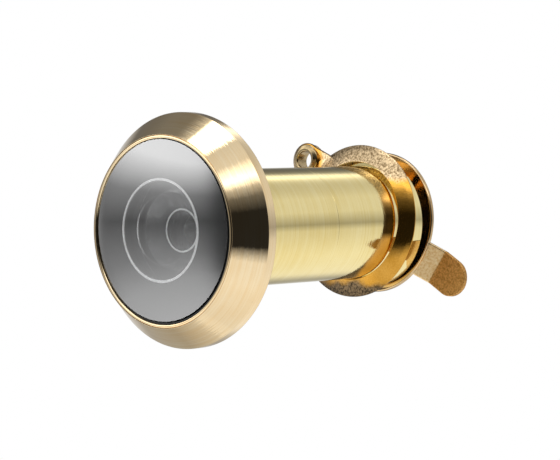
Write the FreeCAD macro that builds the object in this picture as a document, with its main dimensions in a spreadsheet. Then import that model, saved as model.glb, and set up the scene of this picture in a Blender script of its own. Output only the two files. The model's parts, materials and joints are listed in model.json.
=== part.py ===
import FreeCAD, Part
import math
import os
import re
import Sketcher

# Wide-angle door viewer. The axis of the barrel is +Y: the objective looks out along -Y and the
# eyepiece is indoors. +Z is up, with the pivot of the cover flap at the top. The origin is on the
# axis, in the plane where the head bezel bears on the outside of the door. Millimetres.

DIMENSIONS = {
    # head bezel: a cone that widens from the lens to a narrow cylindrical rim
    "rim_radius": 13.7,
    "rim_width": 1.38,
    "rim_round": 0.25,
    "cone_front": 4.65,
    "cone_land": 0.12,
    "bezel_bore": 11.14,
    "recess_radius": 7.4,
    "recess_depth": 0.9,
    "cup_back": 1.5,
    # objective barrel: a cup for the front lens on a long tube with an outside thread
    "cup_radius": 11.1,
    "pocket_radius": 10.7,
    "pocket_floor": 2.3,
    "lip_start": 4.6,
    "lip_round": 0.22,
    "thread_radius": 6.15,
    "thread_depth": 0.4,
    "thread_pitch": 1.0,
    "thread_width": 0.9,
    "thread_start": 0.4,
    "barrel_bore": 5.3,
    "barrel_end": 27.5,
    "end_chamfer": 0.3,
    # front lens and its seal
    "lens_radius": 10.43,
    "lens_edge_front": 4.45,
    "lens_back": 2.62,
    "lens_dome": 34.0,
    "hollow_radius": 5.75,
    "hollow_rim": 3.8,
    "hollow_sphere": 10.0,
    "seal_lip": 9.9,
    # lens holder, the small lenses and the rings that hold them
    "holder_flange": 9.8,
    "holder_radius": 5.25,
    "holder_end": 3.4,
    "funnel_mouth": 4.95,
    "funnel_throat": 2.7,
    "throat_front": 0.6,
    "throat_back": 1.0,
    "second_radius": 4.25,
    "second_length": 2.1,
    "second_sphere": 4.6,
    "second_hollow": 3.4,
    "spacer_bore": 4.3,
    "spacer_end": 8.0,
    "third_radius": 5.2,
    "third_clear": 4.2,
    "third_edge": 1.4,
    "third_sphere": 13.0,
    "retainer_length": 1.6,
    "retainer_bore": 4.4,
    "key_slot_width": 1.2,
    "key_slot_depth": 0.7,
    "layer_gap": 0.05,
    "overshoot": 1.0,
    # eyepiece sleeve: a smooth tube with a flange, screwed over the barrel
    "sleeve_radius": 7.0,
    "sleeve_front": -0.4,
    "sleeve_bore": 6.2,
    "flange_radius": 8.2,
    "flange_front": 31.0,
    "flange_back": 33.0,
    "flange_edge": 0.2,
    "window_radius": 4.6,
    "window_flare": 5.4,
    "seat_station": 31.8,
    "coin_slot_width": 1.5,
    "coin_slot_depth": 0.7,
    "coin_slot_inner": 5.6,
    "inner_radius": 6.15,
    "eye_lens_edge": 0.8,
    "eye_lens_clear": 4.5,
    "eye_lens_sphere": 16.0,
    "stop_bore": 4.2,
    "stop_length": 0.5,
    "clamp_bore": 5.1,
    "clamp_length": 1.0,
    # cover ring: a loose washer round the sleeve, with an ear for the pivot
    "ring_station": 29.53,
    "ring_outer": 9.5,
    "ring_hole": 7.35,
    "ring_sheet": 0.45,
    "ring_offset": 0.2,
    "ring_lean": 6.0,
    "lean_direction": 47.8,
    "pivot_height": 11.55,
    "ear_radius": 2.17,
    "neck_half_width": 2.95,
    "neck_foot": 8.6,
    # hollow rivet
    "rivet_bore": 1.12,
    "rivet_radius": 1.35,
    "rivet_head": 1.95,
    "rivet_head_height": 0.35,
    "pivot_gap": 0.06,
    "pivot_fit": 0.05,
    # cover flap: a disc, an arm that steps back past the flange, and a joggled thumb tab
    "flap_radius": 8.8,
    "flap_sheet": 0.65,
    "flap_front": 4.55,
    "flap_edge": 0.2,
    "flap_centre": 0.25,
    "flap_ear": 2.05,
    "arm_inner": 2.25,
    "arm_outer": 2.88,
    "arm_half_angle": 42.0,
    "arm_overlap": 1.5,
    "tab_angle": 10.5,
    "tab_width": 4.6,
    "tab_root": 8.3,
    "tab_step_end": 10.6,
    "tab_step": 1.4,
    "tab_end": 15.2,
    "tab_tip_flat": 0.05,
}

document = FreeCAD.newDocument("door_viewer")
sheet = document.addObject("Spreadsheet::Sheet", "Size")
for row, (alias, size) in enumerate(DIMENSIONS.items(), start=1):
    sheet.set(f"A{row}", alias)
    sheet.set(f"B{row}", str(size))
    sheet.setAlias(f"B{row}", alias)
document.recompute()

subparts = []
SMALLEST_CUT = 0.1  # cubic millimetres
TOLERANCE = 1e-6  # millimetres
FULL_TURN = 360  # degrees


def bound(formula):
    """The formula with each driving dimension written as a cell of the sheet."""
    return re.sub("[a-z_]+", lambda word: f"Size.{word[0]}" if word[0] in DIMENSIONS else word[0], formula)


def value(formula):
    """What a formula of driving dimensions comes to, in millimetres or degrees."""
    return float(sheet.evalExpression(bound(formula)))


def new_body(label):
    """An empty body for one sub-part."""
    body = document.addObject("PartDesign::Body", label)
    body.Label = label
    subparts.append(body)
    return body


def origin_plane(body, role):
    """One of the body's own origin planes."""
    return next(item for item in body.Origin.OriginFeatures if item.Role == role)


def new_sketch(body, role, station="0"):
    """A sketch on an origin plane; on the XZ plane, moved along +Y to the station."""
    sketch = body.newObject("Sketcher::SketchObject", f"{body.Label}_sketch")
    sketch.AttachmentSupport = [(origin_plane(body, role), "")]
    sketch.MapMode = "FlatFace"
    if station != "0":
        sketch.setExpression(".AttachmentOffset.Base.z", bound(f"-({station})"))
    return sketch


def bind(sketch, constraint, formula):
    """Add a dimension to the sketch and bind it to its formula."""
    index = sketch.addConstraint(constraint)
    sketch.setExpression(f"Constraints[{index}]", bound(formula))


def locate(sketch, edge, end, corner):
    """Hold one end of an edge at a corner, given as two formulas."""
    for axis, name, formula in ((-2, "DistanceX", corner[0]), (-1, "DistanceY", corner[1])):
        if formula == "0":
            sketch.addConstraint(Sketcher.Constraint("PointOnObject", edge, end, axis))
        else:
            bind(sketch, Sketcher.Constraint(name, -1, 1, edge, end, value(formula)), formula)


def arc_between(start, stop, radius):
    """The short arc from start to stop; a positive radius bulges to the right of the way there."""
    chord = stop - start
    half = chord.Length / 2
    rise = abs(radius) - math.sqrt(max(radius * radius - half * half, 0))
    sideways = FreeCAD.Vector(chord.y, -chord.x, 0).normalize() * math.copysign(rise, radius)
    return Part.Arc(start, start + chord / 2 + sideways, stop)


def outline(sketch, corners):
    """A closed outline through the corners. A corner's third entry makes the edge after it an arc:
    the formula of its radius, with a minus in front where it bulges to the left."""
    points = [FreeCAD.Vector(value(corner[0]), value(corner[1]), 0) for corner in corners]
    ends = []
    for number, corner in enumerate(corners):
        start, stop = points[number], points[(number + 1) % len(points)]
        if len(corner) == 2:
            edge = sketch.addGeometry(Part.LineSegment(start, stop))
            ends.append((edge, 1, 2))
            continue
        edge = sketch.addGeometry(arc_between(start, stop, value(corner[2])))
        forward = sketch.getPoint(edge, 1).distanceToPoint(start) < TOLERANCE
        ends.append((edge, 1, 2) if forward else (edge, 2, 1))
        radius = corner[2].lstrip("-")
        bind(sketch, Sketcher.Constraint("Radius", edge, value(radius)), radius)
    for number, (edge, first, last) in enumerate(ends):
        following = ends[(number + 1) % len(ends)]
        sketch.addConstraint(Sketcher.Constraint("Coincident", edge, last, following[0], following[1]))
        locate(sketch, edge, first, corners[number])


def circle(sketch, radius, centre=("0", "0")):
    """A circle with its radius and centre bound."""
    middle = FreeCAD.Vector(value(centre[0]), value(centre[1]), 0)
    edge = sketch.addGeometry(Part.Circle(middle, FreeCAD.Vector(0, 0, 1), value(radius)))
    locate(sketch, edge, 3, centre)
    bind(sketch, Sketcher.Constraint("Radius", edge, value(radius)), radius)


def turned(label, corners):
    """A body turned about the Y axis from an outline of (radius, station) corners."""
    body = new_body(label)
    sketch = new_sketch(body, "XY_Plane")
    outline(sketch, corners)
    revolution = body.newObject("PartDesign::Revolution", f"{label}_turned")
    revolution.Profile = sketch
    revolution.ReferenceAxis = (sketch, ["V_Axis"])
    revolution.Angle = FULL_TURN
    document.recompute()
    return body


def pad(body, sketch, length):
    """Sheet metal of the given thickness, from the sketch towards +Y."""
    feature = body.newObject("PartDesign::Pad", f"{body.Label}_pad")
    feature.Profile = sketch
    feature.Reversed = True
    feature.setExpression("Length", bound(length))
    document.recompute()


def cut_slots(body, face, width, inner, outer, depth, towards_front):
    """A slot each side of the axis, cut from a flat face; checked by the volume that it removes."""
    before = body.Shape.Volume
    sketch = new_sketch(body, "XZ_Plane", face)
    for side in ("", "-"):
        near, far = f"{side}({inner})", f"{side}({outer})"
        low, high = f"-({width}) / 2", f"({width}) / 2"
        outline(sketch, [(near, low), (far, low), (far, high), (near, high)])
    pocket = body.newObject("PartDesign::Pocket", f"{body.Label}_slots")
    pocket.Profile = sketch
    pocket.Reversed = towards_front
    pocket.setExpression("Length", bound(depth))
    document.recompute()
    if before - body.Shape.Volume < SMALLEST_CUT:
        raise RuntimeError(f"the slots of {body.Label} remove nothing")


def round_edges(body, radius, wanted):
    """Round the edges that the test picks out."""
    names = [f"Edge{number}" for number, edge in enumerate(body.Shape.Edges, start=1) if wanted(edge)]
    before = body.Tip
    fillet = body.newObject("PartDesign::Fillet", f"{body.Label}_rounds")
    fillet.Base = (before, names)
    fillet.setExpression("Radius", bound(radius))
    document.recompute()


def is_circle(edge, radius):
    """True for a full circle of that radius about the Y axis."""
    if not isinstance(edge.Curve, Part.Circle) or not edge.isClosed():
        return False
    return abs(edge.Curve.Radius - radius) < TOLERANCE


# ---- head -------------------------------------------------------------------------------------

def head_bezel():
    turned("head_bezel", [
        ("bezel_bore", "-cone_front"),
        ("bezel_bore + cone_land", "-cone_front"),
        ("rim_radius", "-rim_width"),
        ("rim_radius", "-rim_round", "rim_round"),
        ("rim_radius - rim_round", "0"),
        ("recess_radius", "0"),
        ("recess_radius", "-recess_depth"),
        ("thread_radius + layer_gap", "-recess_depth"),
        ("thread_radius + layer_gap", "-cup_back + layer_gap"),
        ("bezel_bore", "-cup_back + layer_gap"),
    ])


def objective_barrel():
    """The cup with its rolled lip, and the tube with its thread."""
    body = turned("objective_barrel", [
        ("pocket_radius", "-lip_start", "lip_round"),
        ("cup_radius", "-lip_start"),
        ("cup_radius", "-cup_back"),
        ("thread_radius", "-cup_back"),
        ("thread_radius", "barrel_end - end_chamfer"),
        ("thread_radius - end_chamfer", "barrel_end"),
        ("barrel_bore", "barrel_end"),
        ("barrel_bore", "-pocket_floor"),
        ("pocket_radius", "-pocket_floor"),
    ])
    cut_thread(body)


def cut_thread(body):
    """The thread along the tube, as a row of grooves one pitch apart."""
    before = body.Shape.Volume
    sketch = new_sketch(body, "XY_Plane")
    outline(sketch, [
        ("thread_radius + layer_gap", "thread_start"),
        ("thread_radius + layer_gap", "thread_start + thread_width"),
        ("thread_radius - thread_depth", "thread_start + thread_width / 2"),
    ])
    groove = body.newObject("PartDesign::Groove", "objective_barrel_groove")
    groove.Profile = sketch
    groove.ReferenceAxis = (sketch, ["V_Axis"])
    groove.Angle = FULL_TURN
    document.recompute()
    grooves = int(value("(barrel_end - end_chamfer - thread_start) / thread_pitch"))
    row = body.newObject("PartDesign::LinearPattern", "objective_barrel_thread")
    row.Originals = [groove]
    row.Direction = (sketch, ["V_Axis"])
    row.Occurrences = grooves
    row.setExpression("Length", bound(f"{grooves - 1} * thread_pitch"))
    body.Tip = row
    document.recompute()
    if before - body.Shape.Volume < grooves * SMALLEST_CUT:
        raise RuntimeError("the thread is not cut all along the tube")


def lens_seal():
    turned("lens_seal", [
        ("lens_radius + layer_gap / 2", "-lens_edge_front"),
        ("pocket_radius", "-lens_edge_front"),
        ("pocket_radius", "-pocket_floor"),
        ("seal_lip", "-pocket_floor"),
        ("seal_lip", "-lens_back"),
        ("lens_radius + layer_gap / 2", "-lens_back"),
    ])


def objective_lens():
    """A domed front face, a coned back and a spherical hollow in the middle of it."""
    turned("objective_lens", [
        ("0", "-lens_edge_front + sqrt(lens_dome ^ 2 - lens_radius ^ 2) - lens_dome", "lens_dome"),
        ("lens_radius", "-lens_edge_front"),
        ("lens_radius", "-lens_back"),
        ("hollow_radius", "-hollow_rim", "-hollow_sphere"),
        ("0", "-hollow_rim - hollow_sphere + sqrt(hollow_sphere ^ 2 - hollow_radius ^ 2)"),
    ])


def lens_holder():
    turned("lens_holder", [
        ("funnel_mouth", "-lens_back + layer_gap"),
        ("holder_flange", "-lens_back + layer_gap"),
        ("holder_flange", "-pocket_floor"),
        ("holder_radius", "-pocket_floor"),
        ("holder_radius", "holder_end"),
        ("spacer_bore", "holder_end"),
        ("spacer_bore", "throat_back"),
        ("funnel_throat", "throat_back"),
        ("funnel_throat", "throat_front"),
    ])


def second_lens():
    """Flat in front, with a spherical hollow behind."""
    front = "throat_back + layer_gap"
    turned("second_lens", [
        ("0", front),
        ("second_radius", front),
        ("second_radius", f"{front} + second_length"),
        ("second_hollow", f"{front} + second_length", "-second_sphere"),
        ("0", f"{front} + second_length - second_sphere + sqrt(second_sphere ^ 2 - second_hollow ^ 2)"),
    ])


def front_spacer():
    turned("front_spacer", [
        ("spacer_bore", "holder_end + layer_gap"),
        ("holder_radius", "holder_end + layer_gap"),
        ("holder_radius", "spacer_end"),
        ("spacer_bore", "spacer_end"),
    ])


THIRD_DOME = "(third_sphere - sqrt(third_sphere ^ 2 - third_clear ^ 2))"
THIRD_FRONT = "spacer_end + layer_gap"
THIRD_BACK = f"{THIRD_FRONT} + third_edge"


def third_lens():
    """Domed on both faces, inside a flat land that its neighbours bear on."""
    turned("third_lens", [
        ("0", f"{THIRD_FRONT} - {THIRD_DOME}", "third_sphere"),
        ("third_clear", THIRD_FRONT),
        ("third_radius", THIRD_FRONT),
        ("third_radius", THIRD_BACK),
        ("third_clear", THIRD_BACK, "third_sphere"),
        ("0", f"{THIRD_BACK} + {THIRD_DOME}"),
    ])


def lens_retainer():
    """The slotted ring that screws in behind the third lens."""
    front = f"{THIRD_BACK} + layer_gap"
    back = f"{front} + retainer_length"
    body = turned("lens_retainer", [
        ("retainer_bore", front),
        ("holder_radius", front),
        ("holder_radius", back),
        ("retainer_bore", back),
    ])
    inner, outer = "retainer_bore - overshoot", "holder_radius + overshoot"
    cut_slots(body, back, "key_slot_width", inner, outer, "key_slot_depth", True)


# ---- eyepiece ---------------------------------------------------------------------------------

def eyepiece_sleeve():
    """The smooth tube, its flange with two coin slots, and the window at its back end."""
    body = turned("eyepiece_sleeve", [
        ("sleeve_bore", "sleeve_front"),
        ("sleeve_radius - end_chamfer / 2", "sleeve_front"),
        ("sleeve_radius", "sleeve_front + end_chamfer / 2"),
        ("sleeve_radius", "flange_front"),
        ("flange_radius - flange_edge", "flange_front"),
        ("flange_radius", "flange_front + flange_edge"),
        ("flange_radius", "flange_back - flange_edge"),
        ("flange_radius - flange_edge", "flange_back"),
        ("window_flare", "flange_back"),
        ("window_radius", "flange_back - window_flare + window_radius"),
        ("window_radius", "seat_station"),
        ("sleeve_bore", "seat_station"),
    ])
    inner, outer = "coin_slot_inner", "flange_radius + overshoot"
    cut_slots(body, "flange_back", "coin_slot_width", inner, outer, "coin_slot_depth", True)


EYE_DOME = "(eye_lens_sphere - sqrt(eye_lens_sphere ^ 2 - eye_lens_clear ^ 2))"
EYE_BACK = "seat_station - layer_gap"
EYE_FRONT = f"{EYE_BACK} - eye_lens_edge"
STOP_FRONT = f"{EYE_FRONT} - layer_gap - stop_length"
CLAMP_BACK = f"{STOP_FRONT} - layer_gap"


def eyepiece_lens():
    """Flat towards the barrel, domed into the window."""
    turned("eyepiece_lens", [
        ("0", EYE_FRONT),
        ("inner_radius", EYE_FRONT),
        ("inner_radius", EYE_BACK),
        ("eye_lens_clear", EYE_BACK, "eye_lens_sphere"),
        ("0", f"{EYE_BACK} + {EYE_DOME}"),
    ])


def washer(label, bore, radius, front, length):
    """A plain ring about the axis."""
    return turned(label, [
        (bore, front),
        (radius, front),
        (radius, f"{front} + {length}"),
        (bore, f"{front} + {length}"),
    ])


def eyepiece_clamp():
    """The slotted ring that holds the stop and the lens against the end wall."""
    front = f"{CLAMP_BACK} - clamp_length"
    body = washer("eyepiece_clamp", "clamp_bore", "inner_radius", front, "clamp_length")
    inner, outer = "clamp_bore - overshoot", "inner_radius + overshoot"
    cut_slots(body, front, "key_slot_width", inner, outer, "key_slot_depth / 2", False)


# ---- cover ring, rivet and flap: modelled square about their own Y axis, then leant as one -------

def leaning():
    """Where the loose ring lies: about its own front face, leant back on a slanting axis."""
    slant = math.radians(value("lean_direction"))
    offset = value("ring_offset")
    base = FreeCAD.Vector(offset * math.sin(slant), value("ring_station"), offset * math.cos(slant))
    axis = FreeCAD.Vector(math.cos(slant), 0, -math.sin(slant))
    return FreeCAD.Placement(base, FreeCAD.Rotation(axis, -value("ring_lean")))


def cover_ring():
    body = new_body("cover_ring")
    blank = new_sketch(body, "XZ_Plane")
    circle(blank, "ring_outer")
    circle(blank, "ring_hole")
    pad(body, blank, "ring_sheet")
    ear = new_sketch(body, "XZ_Plane")
    outline(ear, [
        ("-neck_half_width", "neck_foot"),
        ("neck_half_width", "neck_foot"),
        ("ear_radius", "pivot_height", "ear_radius"),
        ("0", "pivot_height + ear_radius", "ear_radius"),
        ("-ear_radius", "pivot_height"),
    ])
    circle(ear, "rivet_radius", ("0", "pivot_height"))
    pad(body, ear, "ring_sheet")
    body.Placement = leaning()


FLAP_EAR_FRONT = "ring_sheet + pivot_gap"
RIVET_BACK = f"{FLAP_EAR_FRONT} + flap_sheet + pivot_gap"


def pivot_rivet():
    """A tube with a rounded flare at each end, about its own axis at the height of the pivot."""
    corner = "rivet_head - rivet_head_height"
    body = turned("pivot_rivet", [
        ("rivet_bore + rivet_head_height / 2", "-rivet_head_height"),
        (corner, "-rivet_head_height", "rivet_head_height"),
        ("rivet_head", "0"),
        ("rivet_radius", "0"),
        ("rivet_radius", RIVET_BACK),
        ("rivet_head", RIVET_BACK, "rivet_head_height"),
        (corner, f"{RIVET_BACK} + rivet_head_height"),
        ("rivet_bore + rivet_head_height / 2", f"{RIVET_BACK} + rivet_head_height"),
        ("rivet_bore", f"{RIVET_BACK} + rivet_head_height / 2"),
        ("rivet_bore", "-rivet_head_height / 2"),
    ])
    raised = FreeCAD.Placement(FreeCAD.Vector(0, 0, value("pivot_height")), FreeCAD.Rotation())
    body.Placement = leaning().multiply(raised)


def arm_edge(radius, side):
    """Where the arm's side line meets a circle about the pivot, as two formulas."""
    across = f"{side}({radius}) * sin(arm_half_angle * 1deg)"
    return across, f"pivot_height - ({radius}) * cos(arm_half_angle * 1deg)"


def cover_flap():
    """The ear, the wall that carries the arm back past the flange, the disc and the thumb tab."""
    body = new_body("cover_flap")

    disc = new_sketch(body, "XZ_Plane", "flap_front")
    circle(disc, "flap_radius", ("0", "flap_centre"))
    pad(body, disc, "flap_sheet")
    round_edges(body, "flap_edge", lambda edge: is_circle(edge, value("flap_radius")))

    link = new_sketch(body, "XZ_Plane", "flap_front")
    outline(link, [
        (arm_edge("arm_outer", "-")[0], "flap_radius - arm_overlap"),
        (arm_edge("arm_outer", "")[0], "flap_radius - arm_overlap"),
        arm_edge("arm_outer", ""),
        (*arm_edge("arm_inner", ""), "-arm_inner"),
        arm_edge("arm_inner", "-"),
        arm_edge("arm_outer", "-"),
    ])
    pad(body, link, "flap_sheet")

    wall = new_sketch(body, "XZ_Plane", FLAP_EAR_FRONT)
    outline(wall, [
        arm_edge("arm_inner", "-"),
        (*arm_edge("arm_outer", "-"), "arm_outer"),
        arm_edge("arm_outer", ""),
        (*arm_edge("arm_inner", ""), "-arm_inner"),
    ])
    pad(body, wall, f"flap_front + flap_sheet - ({FLAP_EAR_FRONT})")

    ear = new_sketch(body, "XZ_Plane", FLAP_EAR_FRONT)
    outline(ear, [
        ("flap_ear", "pivot_height", "flap_ear"),
        ("0", "pivot_height + flap_ear", "flap_ear"),
        ("-flap_ear", "pivot_height"),
        (*arm_edge("arm_outer", "-"), "arm_outer"),
        arm_edge("arm_outer", ""),
    ])
    circle(ear, "rivet_radius + pivot_fit", ("0", "pivot_height"))
    pad(body, ear, "flap_sheet")

    thumb_tab(body)
    body.Placement = leaning()


def thumb_tab(body):
    """The tab: bent back, then flat again, in side view; padded across, with a round end."""
    profile = new_sketch(body, "YZ_Plane")
    turn = FreeCAD.Rotation(FreeCAD.Vector(1, 0, 0), -value("tab_angle"))
    profile.AttachmentOffset = FreeCAD.Placement(FreeCAD.Vector(), turn)
    front, back = "flap_front", "flap_front + flap_sheet"
    outline(profile, [
        (front, "flap_centre - tab_root"),
        (f"{front} + tab_step", "flap_centre - tab_step_end"),
        (f"{front} + tab_step", "flap_centre - tab_end"),
        (f"{back} + tab_step", "flap_centre - tab_end"),
        (f"{back} + tab_step", "flap_centre - tab_step_end"),
        (back, "flap_centre - tab_root"),
    ])
    tab = body.newObject("PartDesign::Pad", "cover_flap_tab")
    tab.Profile = profile
    tab.Midplane = True
    tab.setExpression("Length", bound("tab_width"))
    document.recompute()
    reach = value("tab_end - flap_centre")
    round_edges(body, "tab_width / 2 - tab_tip_flat", lambda edge: is_tip_corner(edge, reach))


def is_tip_corner(edge, reach):
    """True for the straight edges through the sheet at the far end of the tab."""
    first, last = edge.Vertexes[0].Point, edge.Vertexes[-1].Point
    through = math.hypot(first.x - last.x, first.z - last.z) < TOLERANCE
    return through and math.hypot(first.x, first.z) > reach


head_bezel()
objective_barrel()
lens_seal()
objective_lens()
lens_holder()
second_lens()
front_spacer()
third_lens()
lens_retainer()
eyepiece_sleeve()
eyepiece_lens()
washer("field_stop", "stop_bore", "inner_radius", STOP_FRONT, "stop_length")
eyepiece_clamp()
cover_ring()
pivot_rivet()
cover_flap()
document.recompute()

for item in document.Objects:
    if "Invalid" in item.State or "Error" in item.State:
        raise RuntimeError(f"{item.Label} is {item.State}")

os.makedirs("parts", exist_ok=True)
for body in subparts:
    shape = body.Shape
    if shape.isNull() or not shape.isValid() or len(shape.Solids) != 1:
        raise RuntimeError(f"{body.Label} has no single valid solid")
    shape.exportStep(os.path.join("parts", f"{body.Label}.step"))
    box = shape.BoundBox
    print(f"{body.Label:18s} {shape.Volume:9.2f} mm3  x {box.XMin:7.2f} {box.XMax:7.2f}"
          f"  y {box.YMin:7.2f} {box.YMax:7.2f}  z {box.ZMin:7.2f} {box.ZMax:7.2f}")
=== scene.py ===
import json
import math

import bmesh
import bpy
from mathutils import Matrix, Vector


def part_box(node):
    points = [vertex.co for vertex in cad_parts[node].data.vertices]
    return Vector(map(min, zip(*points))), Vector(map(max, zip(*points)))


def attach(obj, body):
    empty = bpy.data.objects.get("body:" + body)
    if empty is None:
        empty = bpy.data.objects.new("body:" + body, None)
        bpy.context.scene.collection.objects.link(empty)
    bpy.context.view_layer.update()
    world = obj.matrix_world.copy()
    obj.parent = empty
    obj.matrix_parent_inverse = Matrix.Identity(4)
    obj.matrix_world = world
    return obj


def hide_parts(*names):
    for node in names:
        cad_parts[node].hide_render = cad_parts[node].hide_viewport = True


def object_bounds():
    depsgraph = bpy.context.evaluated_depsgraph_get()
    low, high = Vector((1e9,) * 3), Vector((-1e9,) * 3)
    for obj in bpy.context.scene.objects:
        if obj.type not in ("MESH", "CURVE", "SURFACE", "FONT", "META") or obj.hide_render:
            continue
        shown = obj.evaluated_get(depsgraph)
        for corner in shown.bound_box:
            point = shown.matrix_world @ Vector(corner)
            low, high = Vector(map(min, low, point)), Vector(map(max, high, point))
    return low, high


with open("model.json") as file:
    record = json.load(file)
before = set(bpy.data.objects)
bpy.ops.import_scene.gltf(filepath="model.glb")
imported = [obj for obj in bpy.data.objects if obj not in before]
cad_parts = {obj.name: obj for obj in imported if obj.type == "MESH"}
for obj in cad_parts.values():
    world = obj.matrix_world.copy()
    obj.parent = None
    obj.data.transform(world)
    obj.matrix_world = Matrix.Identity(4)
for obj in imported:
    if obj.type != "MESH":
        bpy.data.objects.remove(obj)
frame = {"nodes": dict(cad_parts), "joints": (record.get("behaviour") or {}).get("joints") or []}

# The looks of the door viewer. Outlines are in millimetres, as (radius, station) about the barrel's
# axis, +Y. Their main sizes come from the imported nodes, and the rest are the named values below.

MM = 0.001
SEGMENTS = 192
SHARP = math.radians(32)
TINY = 1e-6
FULL_TURN = 2 * math.pi

CAD_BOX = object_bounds()

# ---- sizes --------------------------------------------------------------------------------------


def corners(node):
    """The node's lowest and highest corner, in millimetres."""
    low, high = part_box(node)
    return low / MM, high / MM


def joint(name):
    """The record of one joint."""
    return next(item for item in frame["joints"] if item["name"] == name)


def leaning_frame():
    """The frame of the loose ring: Y along the rivet, Z towards it, the origin at the ring's front."""
    centre = Vector(joint("ring_rock")["pos_m"])
    pivot = Vector(joint("flap_swing")["pos_m"])
    along = Vector(joint("flap_swing")["axis"]).normalized()
    up = (pivot - centre).normalized()
    side = along.cross(up)
    return Matrix.Translation(centre) @ Matrix((side, along, up)).transposed().to_4x4()


LEAN = leaning_frame()
PIVOT = (LEAN.inverted() @ Vector(joint("flap_swing")["pos_m"])).z / MM

HEAD_LOW, HEAD_HIGH = corners("head_bezel")
BARREL_LOW, BARREL_HIGH = corners("objective_barrel")
LENS_LOW, LENS_HIGH = corners("objective_lens")
SEAL_LOW, SEAL_HIGH = corners("lens_seal")
HOLDER_LOW, HOLDER_HIGH = corners("lens_holder")
SECOND_LOW, SECOND_HIGH = corners("second_lens")
THIRD_LOW, THIRD_HIGH = corners("third_lens")
SLEEVE_LOW, SLEEVE_HIGH = corners("eyepiece_sleeve")
EYE_LOW, EYE_HIGH = corners("eyepiece_lens")

TUBE_RADIUS = 7.0
POCKET_FLOOR = -2.3
CUP_BACK = -1.5
LENS_REST = 0.2
DOME_RIM = -4.55
HOLLOW_RADIUS = 5.75
HOLLOW_RIM = -3.8
HOLLOW_POLE = -5.62
THROAT = 3.15
THROAT_FRONT = 0.6
THREAD_RADIUS = 6.15
SLEEVE_BORE = 6.2
TOOL_MARK = 18.5
THREAD_PITCH = 1.0
THREAD_DEPTH = 0.4
RING_RADIUS = 9.5
RING_HOLE = 7.35
RING_SHEET = 0.45
RING_DISH = 0.45
RING_CROWN = 0.32
FLAP_RADIUS = 8.8
FLAP_CENTRE = 0.25
FLAP_FRONT = 4.55
FLAP_SHEET = 0.65
FLAP_EAR_FRONT = 0.51
TAB_TURN = math.radians(-10.5)
TAB_ROOT = 8.05
TAB_BEND = 10.35
TAB_TIP = 14.95
RIVET_BORE = 1.12
RIVET_SHANK = 1.35
RIVET_HEAD = 1.95
LAYER_GAP = 0.02
# Emission strength of the ground edges' glass: a painted glow.
PAINTED_EDGE_GLOW = 0.30

# ---- meshes -------------------------------------------------------------------------------------


def fillet(before, corner, after, radius, steps=5):
    """The points of the arc that rounds one corner of an outline."""
    back = (before - corner).normalized()
    ahead = (after - corner).normalized()
    half = back.angle(ahead) / 2
    middle = corner + (back + ahead).normalized() * radius / math.sin(half)
    start = corner + back * radius / math.tan(half) - middle
    stop = corner + ahead * radius / math.tan(half) - middle
    return [middle + start.slerp(stop, step / steps).normalized() * radius for step in range(steps + 1)]


def rounded(outline):
    """The outline's points; a corner's third entry is the radius that rounds it."""
    points = []
    for index, entry in enumerate(outline):
        corner = Vector(entry[:2])
        if len(entry) == 2:
            points.append(corner)
            continue
        before = Vector(outline[index - 1][:2])
        after = Vector(outline[(index + 1) % len(outline)][:2])
        points += fillet(before, corner, after, entry[2])
    return points


def dome(pole, rim_radius, rim, steps=24):
    """The points of a sphere's outline, from its pole on the axis out to its rim."""
    centre = (rim_radius ** 2 + rim ** 2 - pole ** 2) / (2 * (rim - pole))
    radius = pole - centre
    reach = math.asin(rim_radius / abs(radius))
    angles = [reach * step / steps for step in range(steps + 1)]
    return [(abs(radius) * math.sin(angle), centre + radius * math.cos(angle)) for angle in angles]


def turned(points, start=0, sweep=FULL_TURN, segments=SEGMENTS):
    """A closed mesh turned about the Y axis from an outline, with capped ends if it isn't a full
    turn. Its UV map holds millimetres round the axis and along the outline."""
    work = bmesh.new()
    uv = work.loops.layers.uv.new("turning")
    whole = abs(sweep - FULL_TURN) < TINY
    columns = segments if whole else segments + 1
    rings = []
    for radius, station in points:
        if radius < TINY:
            rings.append([work.verts.new((0, station * MM, 0))])
            continue
        angles = [start + sweep * step / segments for step in range(columns)]
        rings.append([work.verts.new((radius * math.sin(angle) * MM, station * MM,
                                      radius * math.cos(angle) * MM)) for angle in angles])
    mean_radius = sum(point.x for point in points) / len(points)
    along = 0
    for index, ring in enumerate(rings):
        following = rings[(index + 1) % len(rings)]
        length = (points[(index + 1) % len(points)] - points[index]).length
        for step in range(segments if len(ring) + len(following) > 2 else 0):
            around = [sweep * (step + side) / segments * mean_radius for side in (0, 1, 1, 0)]
            down = (along, along, along + length, along + length)
            loops = [(ring, step, 0), (ring, step + 1, 1), (following, step + 1, 2), (following, step, 3)]
            seen = {}
            for source, column, place in loops:
                seen.setdefault(source[column % len(source)], place)
            face = work.faces.new(seen)
            for loop, place in zip(face.loops, seen.values()):
                loop[uv].uv = (around[place], down[place])
        along += length
    if not whole:
        work.faces.new([ring[0] for ring in rings])
        work.faces.new([ring[-1] for ring in reversed(rings)])
    return work


def object_from(work, name):
    """An object with the mesh, its faces turned outwards."""
    bmesh.ops.recalc_face_normals(work, faces=work.faces)
    mesh = bpy.data.meshes.new(name)
    work.to_mesh(mesh)
    work.free()
    made = bpy.data.objects.new(name, mesh)
    bpy.context.scene.collection.objects.link(made)
    return made


def combined(base, others, operation):
    """The base object's mesh after a boolean with each of the others, which are then removed."""
    for other in others:
        modifier = base.modifiers.new("boolean", "BOOLEAN")
        modifier.operation = operation
        modifier.solver = "EXACT"
        modifier.object = other
    evaluated = base.evaluated_get(bpy.context.evaluated_depsgraph_get())
    mesh = bpy.data.meshes.new_from_object(evaluated)
    base.modifiers.clear()
    base.data = mesh
    for other in others:
        bpy.data.objects.remove(other)
    return base


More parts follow.
